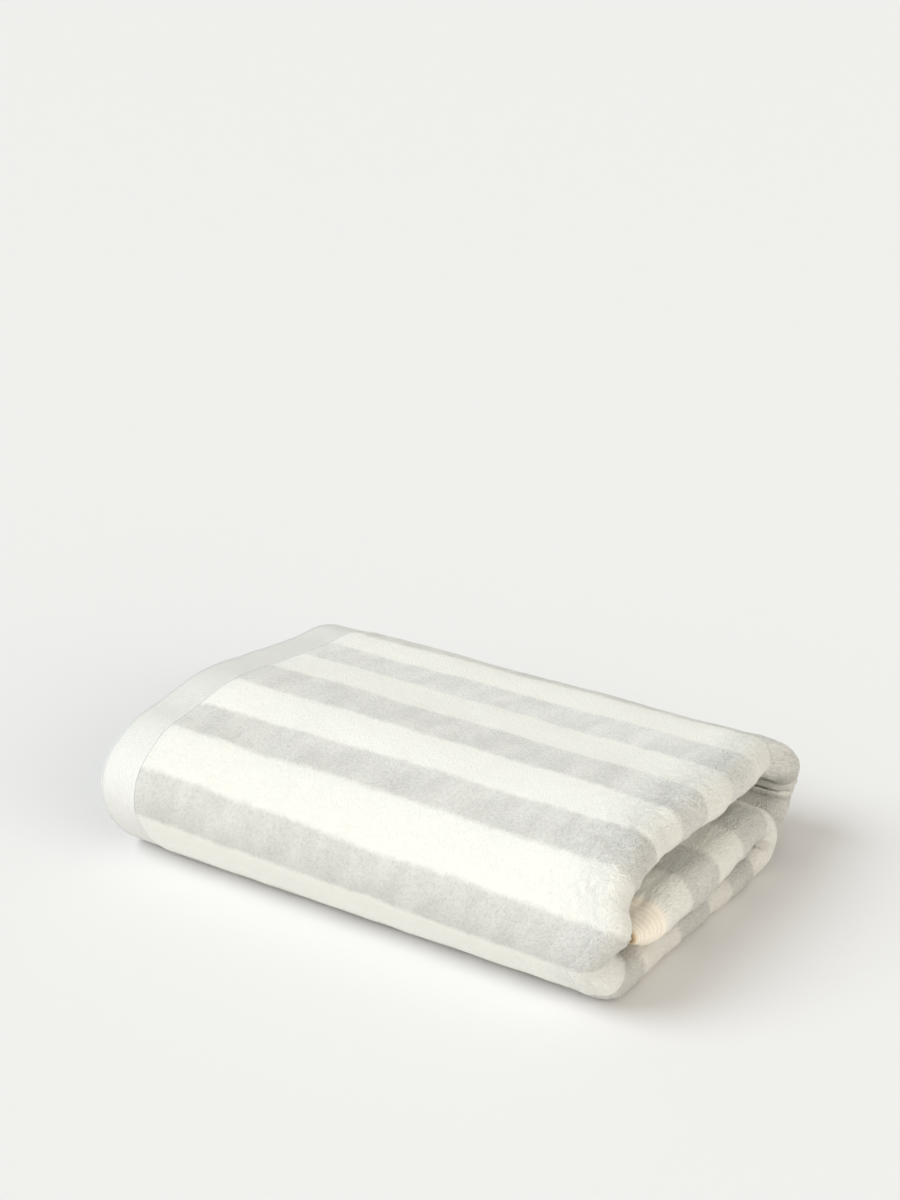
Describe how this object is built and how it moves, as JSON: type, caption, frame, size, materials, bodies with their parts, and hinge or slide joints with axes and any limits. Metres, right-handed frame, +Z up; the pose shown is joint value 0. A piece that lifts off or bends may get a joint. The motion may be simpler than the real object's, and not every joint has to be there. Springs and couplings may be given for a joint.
{
  "type": "folded hand towel",
  "caption": "Striped velour terry hand towel, folded into a thick layered pack and then in three along its length, lying flat.",
  "frame": {"origin": "bottom centre of the folded towel, on the surface it rests on", "axes": "+X along the folded length, from the hem end to the rolled end; -Y the rounded front fold; +Z up"},
  "size_m": [0.267, 0.2014, 0.0691],
  "materials": {
    "velour_terry": "matt velour pile with wide lengthwise stripes and flat-woven hems"
  },
  "bodies": {
    "root": {"towel": "velour_terry"}
  },
  "joints": []
}
